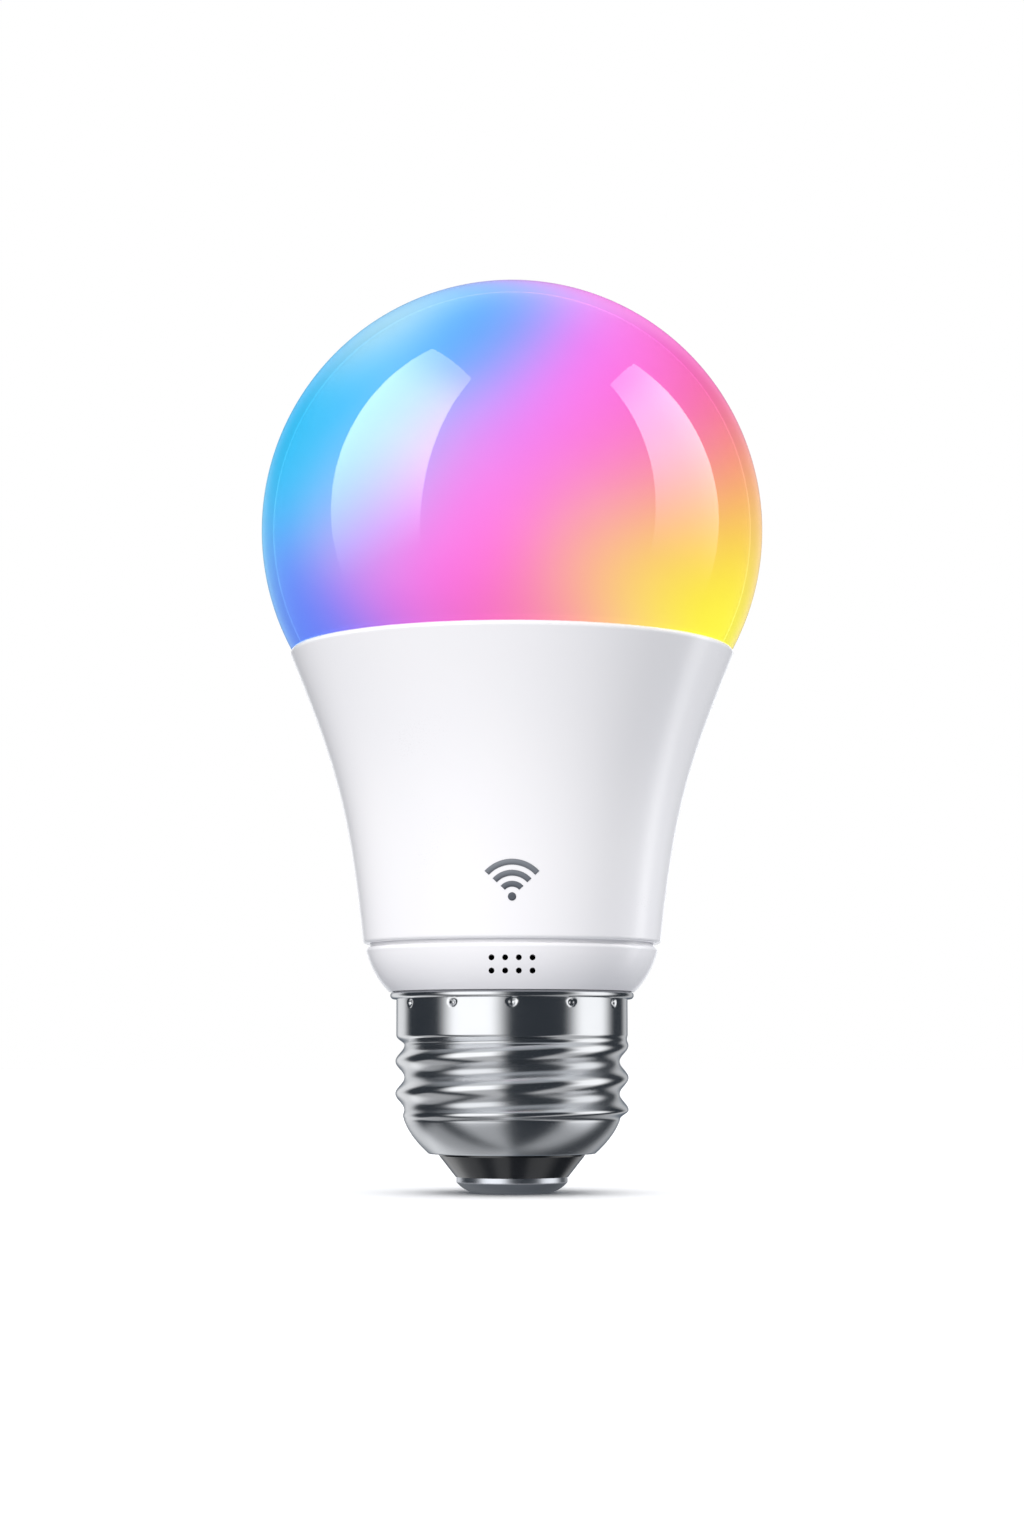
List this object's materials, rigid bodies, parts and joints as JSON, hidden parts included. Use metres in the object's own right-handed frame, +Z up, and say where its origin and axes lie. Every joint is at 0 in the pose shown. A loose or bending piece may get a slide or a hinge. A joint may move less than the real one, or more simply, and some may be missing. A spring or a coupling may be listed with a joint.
{
  "type": "smart light bulb",
  "caption": "Smart light bulb with a milky colour-lit globe under a clear layer, flared white housing, vented collar, Edison screw cap and its driver inside.",
  "frame": {"origin": "centre of the flat end of the centre contact, where the bulb stands", "axes": "+Z up the bulb's axis to the top of the globe; -Y is the front, the side with the collar's vent holes"},
  "size_m": [0.0574, 0.0574, 0.104],
  "materials": {
    "contact_metal": "satin nickel plate",
    "insulator": "glossy black",
    "shell_metal": "polished nickel plate",
    "white_plastic": "glossy white",
    "clear_plastic": "clear, polished",
    "milky_plastic": "milky, lit from inside in mixed colours",
    "silicone": "soft white silicone",
    "cup_aluminium": "drawn sheet",
    "pad_rubber": "grey-blue gap pad",
    "light_board_mask": "white solder mask on aluminium",
    "led_package": "white reflector body",
    "cool_phosphor": "pale yellow phosphor",
    "warm_phosphor": "amber phosphor",
    "colour_window": "clear resin over three dies",
    "screw_steel": "zinc plated",
    "sleeve_plastic": "moulded natural white",
    "driver_board_mask": "green solder mask",
    "module_board_mask": "black solder mask",
    "capacitor_sleeve": "shrink sleeve over an aluminium can",
    "ferrite": "dark sintered ferrite",
    "copper_wire": "enamelled copper wire",
    "bobbin_plastic": "black moulding",
    "winding_tape": "yellow tape over the winding",
    "pin_metal": "plated brass",
    "resistor_body": "lacquered ceramic",
    "varistor_coat": "blue epoxy coat",
    "film_case": "orange moulded case",
    "chip_body": "black moulding compound",
    "connector_plastic": "black moulding",
    "shield_tin": "tinned steel",
    "antenna_copper": "gilded copper",
    "live_wire": "red insulation",
    "neutral_wire": "white insulation",
    "solder": "solder"
  },
  "bodies": {
    "root": {"base_collar": "white_plastic", "base_insulator": "insulator", "board_screws": "screw_steel", "bridge_rectifier": "chip_body", "bulk_capacitor": "capacitor_sleeve", "centre_contact": "contact_metal", "chip_resistors": "chip_body", "choke_core": "ferrite", "choke_winding": "copper_wire", "colour_led_windows": "colour_window", "colour_leds": "led_package", "cool_white_leds": "led_package", "cool_white_phosphor": "cool_phosphor", "driver_board": "driver_board_mask", "driver_sleeve": "sleeve_plastic", "film_capacitor": "film_case", "fuse_resistor": "resistor_body", "globe_clear_layer": "clear_plastic", "globe_diffuser": "milky_plastic", "globe_sealant": "silicone", "header_pins": "pin_metal", "header_strip": "connector_plastic", "heat_sink_cup": "cup_aluminium", "housing_shell": "white_plastic", "led_board": "light_board_mask", "led_board_socket": "connector_plastic", "led_driver_chip": "chip_body", "live_lead": "live_wire", "neutral_lead": "neutral_wire", "neutral_solder": "solder", "output_capacitor": "capacitor_sleeve", "screw_shell": "shell_metal", "thermal_pad": "pad_rubber", "transformer_bobbin": "bobbin_plastic", "transformer_core": "ferrite", "transformer_pins": "pin_metal", "transformer_winding": "winding_tape", "varistor": "varistor_coat", "warm_white_leds": "led_package", "warm_white_phosphor": "warm_phosphor", "wireless_antenna": "antenna_copper", "wireless_board": "module_board_mask", "wireless_pin_strip": "connector_plastic", "wireless_pins": "pin_metal", "wireless_shield_can": "shield_tin"}
  },
  "joints": []
}
